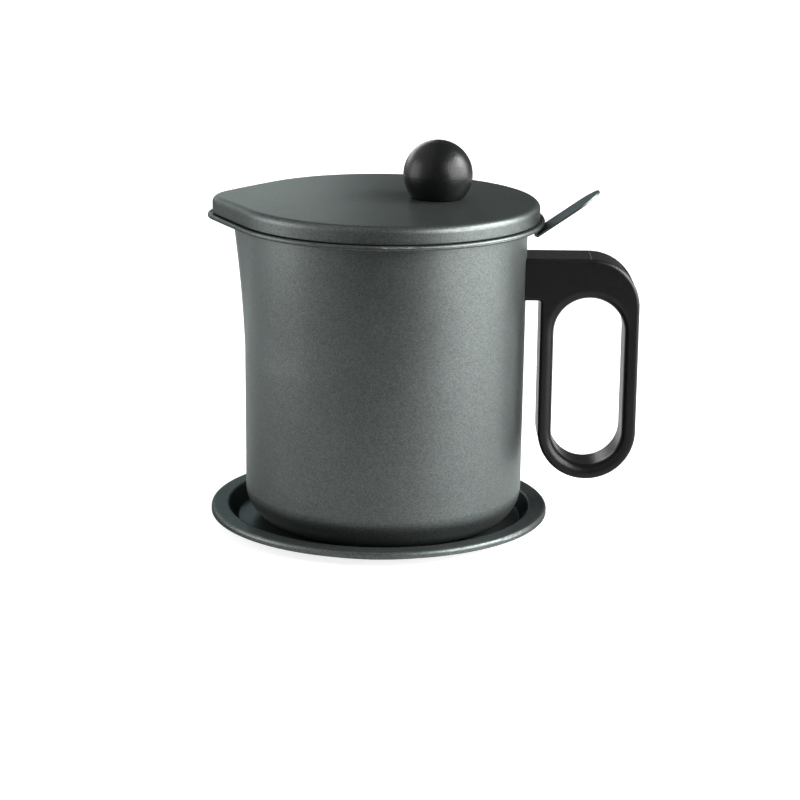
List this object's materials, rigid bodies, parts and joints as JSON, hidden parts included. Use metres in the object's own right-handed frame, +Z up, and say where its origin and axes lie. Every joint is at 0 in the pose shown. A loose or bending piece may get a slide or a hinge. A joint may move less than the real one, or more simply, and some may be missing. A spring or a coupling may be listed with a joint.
{
  "type": "bacon grease container",
  "caption": "Spouted steel grease pot with a moulded loop handle, standing in a drip tray, with a lift-out strainer and a low-crowned lid with a ball knob.",
  "frame": {"origin": "on the pot's axis, in the plane that the tray rests on", "axes": "+Z up along the pot's axis; +X from the pot's axis through the handle, so the spout points to -X; +Y completes the right-handed frame"},
  "size_m": [0.1988, 0.1574, 0.1793],
  "materials": {
    "coated_steel": "non-stick coating, satin, fine metallic speckle",
    "black_plastic": "moulded phenolic, satin",
    "bare_steel": "stainless, brushed",
    "dark_steel": "blackened steel",
    "brass": "turned"
  },
  "bodies": {
    "tray": {"tray": "coated_steel"},
    "pot": {"pot_body": "coated_steel", "handle": "black_plastic", "handle_lug": "bare_steel", "handle_screw": "dark_steel", "handle_washer": "dark_steel"},
    "strainer": {"strainer_pan": "coated_steel", "strainer_screen": "bare_steel", "screen_ring": "bare_steel", "strainer_tab": "coated_steel"},
    "lid": {"lid_shell": "coated_steel", "knob": "black_plastic", "knob_insert": "brass", "knob_screw": "bare_steel", "knob_washer": "bare_steel"}
  },
  "joints": [
    {"name": "pot_lift", "type": "slide", "parent": "tray", "child": "pot", "axis": [0, 0, 1], "range_m": [0, 0.06]},
    {"name": "strainer_lift", "type": "slide", "parent": "pot", "child": "strainer", "axis": [0, 0, 1], "range_m": [0, 0.09]},
    {"name": "lid_lift", "type": "slide", "parent": "strainer", "child": "lid", "axis": [0, 0, 1], "range_m": [0, 0.06]}
  ]
}
